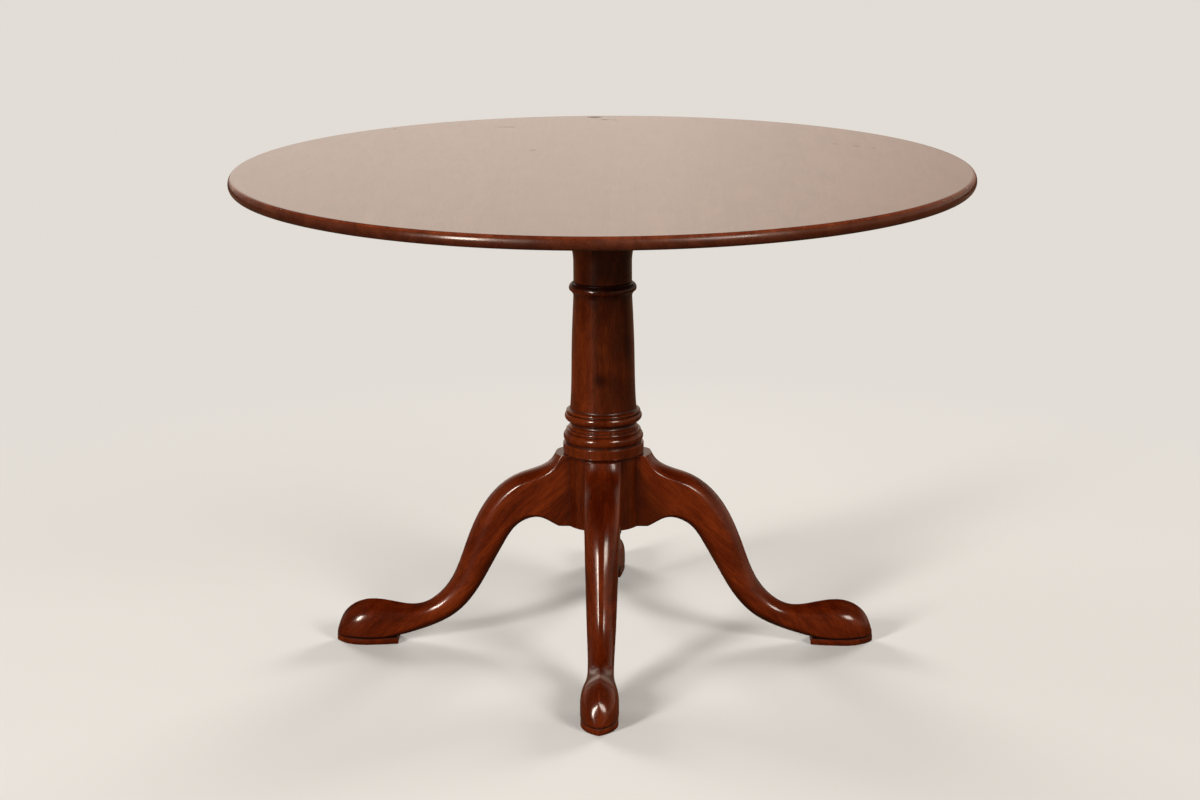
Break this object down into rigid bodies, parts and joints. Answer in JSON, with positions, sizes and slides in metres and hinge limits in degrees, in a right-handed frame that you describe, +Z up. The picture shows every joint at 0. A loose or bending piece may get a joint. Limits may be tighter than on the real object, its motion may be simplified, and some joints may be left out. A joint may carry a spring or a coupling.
{
  "type": "tavern table",
  "caption": "Round tavern table: a glued board top with a rounded edge, fixed on a turned column whose dovetailed cabriole legs end in carved pad feet.",
  "frame": {"origin": "on the floor under the middle of the column", "axes": "+Z up, -Y to the front along the front leg, +X to the right along the right leg"},
  "size_m": [1.118, 1.118, 0.747],
  "materials": {
    "top_wood": "polished clear varnish over red-brown stain",
    "base_wood": "polished clear varnish over red-brown stain",
    "frame_wood": "planed, thin stain, no varnish",
    "steel": "dull mill finish"
  },
  "bodies": {
    "root": {"top_board_1": "top_wood", "top_board_2": "top_wood", "top_board_3": "top_wood", "top_board_4": "top_wood", "top_board_5": "top_wood", "top_board_6": "top_wood", "top_board_7": "top_wood", "top_board_8": "top_wood", "cleat_front": "frame_wood", "cleat_back": "frame_wood", "cleat_screws": "steel", "top_block": "frame_wood", "block_screws": "steel", "column": "base_wood", "tenon_wedges": "frame_wood", "leg_right": "base_wood", "leg_back": "base_wood", "leg_left": "base_wood", "leg_front": "base_wood", "base_plate": "steel", "plate_screws": "steel"}
  },
  "joints": []
}
